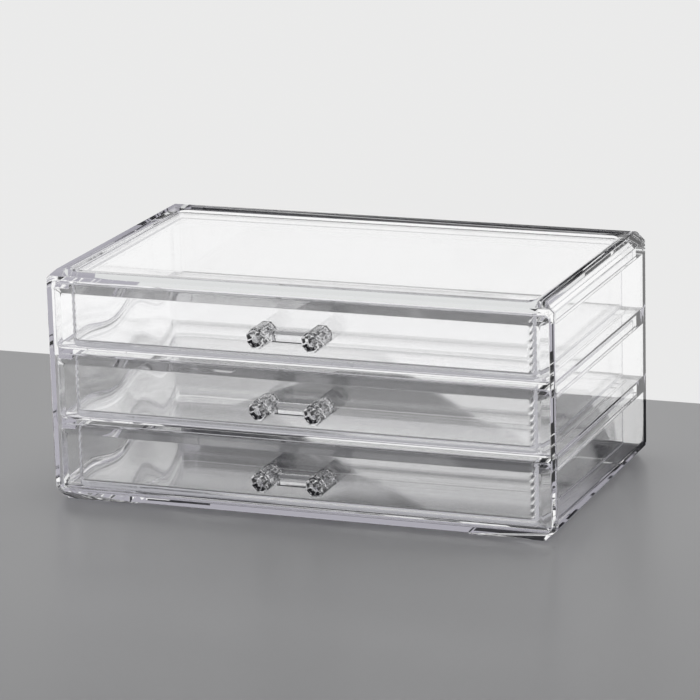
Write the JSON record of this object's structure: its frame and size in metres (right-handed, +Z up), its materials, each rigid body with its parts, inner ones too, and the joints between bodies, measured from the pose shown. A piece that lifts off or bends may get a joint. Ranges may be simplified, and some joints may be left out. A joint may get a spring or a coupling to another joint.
{
  "type": "drawer organizer",
  "caption": "Low, wide clear acrylic countertop organizer with stacked shallow drawers, bevelled fronts, knob-and-bar pulls and a recessed roof.",
  "frame": {"origin": "middle of the whole footprint, handles included, at the level the feet stand on", "axes": "+X to the right as seen from the front, +Y from the drawers' fronts to the back, +Z up"},
  "size_m": [0.24, 0.152, 0.107],
  "materials": {
    "clear_case": "clear, polished",
    "clear_shelf": "clear, polished",
    "clear_rail": "clear, polished",
    "clear_foot": "clear, polished",
    "clear_tray": "clear, polished",
    "clear_front": "clear, polished",
    "clear_handle": "clear, polished"
  },
  "bodies": {
    "case": {"case_shell": "clear_case", "back_panel": "clear_case", "lower_shelf": "clear_shelf", "upper_shelf": "clear_shelf", "bottom_left_guide_rail": "clear_rail", "bottom_right_guide_rail": "clear_rail", "bottom_rear_guide_strip": "clear_rail", "middle_left_guide_rail": "clear_rail", "middle_right_guide_rail": "clear_rail", "middle_rear_guide_strip": "clear_rail", "top_left_guide_rail": "clear_rail", "top_right_guide_rail": "clear_rail", "top_rear_guide_strip": "clear_rail", "front_left_foot": "clear_foot", "front_right_foot": "clear_foot", "rear_left_foot": "clear_foot", "rear_right_foot": "clear_foot"},
    "bottom_drawer": {"bottom_tray": "clear_tray", "bottom_front_panel": "clear_front", "bottom_handle": "clear_handle", "bottom_handle_pins": "clear_handle"},
    "middle_drawer": {"middle_tray": "clear_tray", "middle_front_panel": "clear_front", "middle_handle": "clear_handle", "middle_handle_pins": "clear_handle"},
    "top_drawer": {"top_tray": "clear_tray", "top_front_panel": "clear_front", "top_handle": "clear_handle", "top_handle_pins": "clear_handle"}
  },
  "joints": [
    {"name": "bottom_drawer_slide", "type": "slide", "parent": "case", "child": "bottom_drawer", "axis": [0, -1, 0], "range_m": [0, 0.1]},
    {"name": "middle_drawer_slide", "type": "slide", "parent": "case", "child": "middle_drawer", "axis": [0, -1, 0], "range_m": [0, 0.1]},
    {"name": "top_drawer_slide", "type": "slide", "parent": "case", "child": "top_drawer", "axis": [0, -1, 0], "range_m": [0, 0.1]}
  ]
}
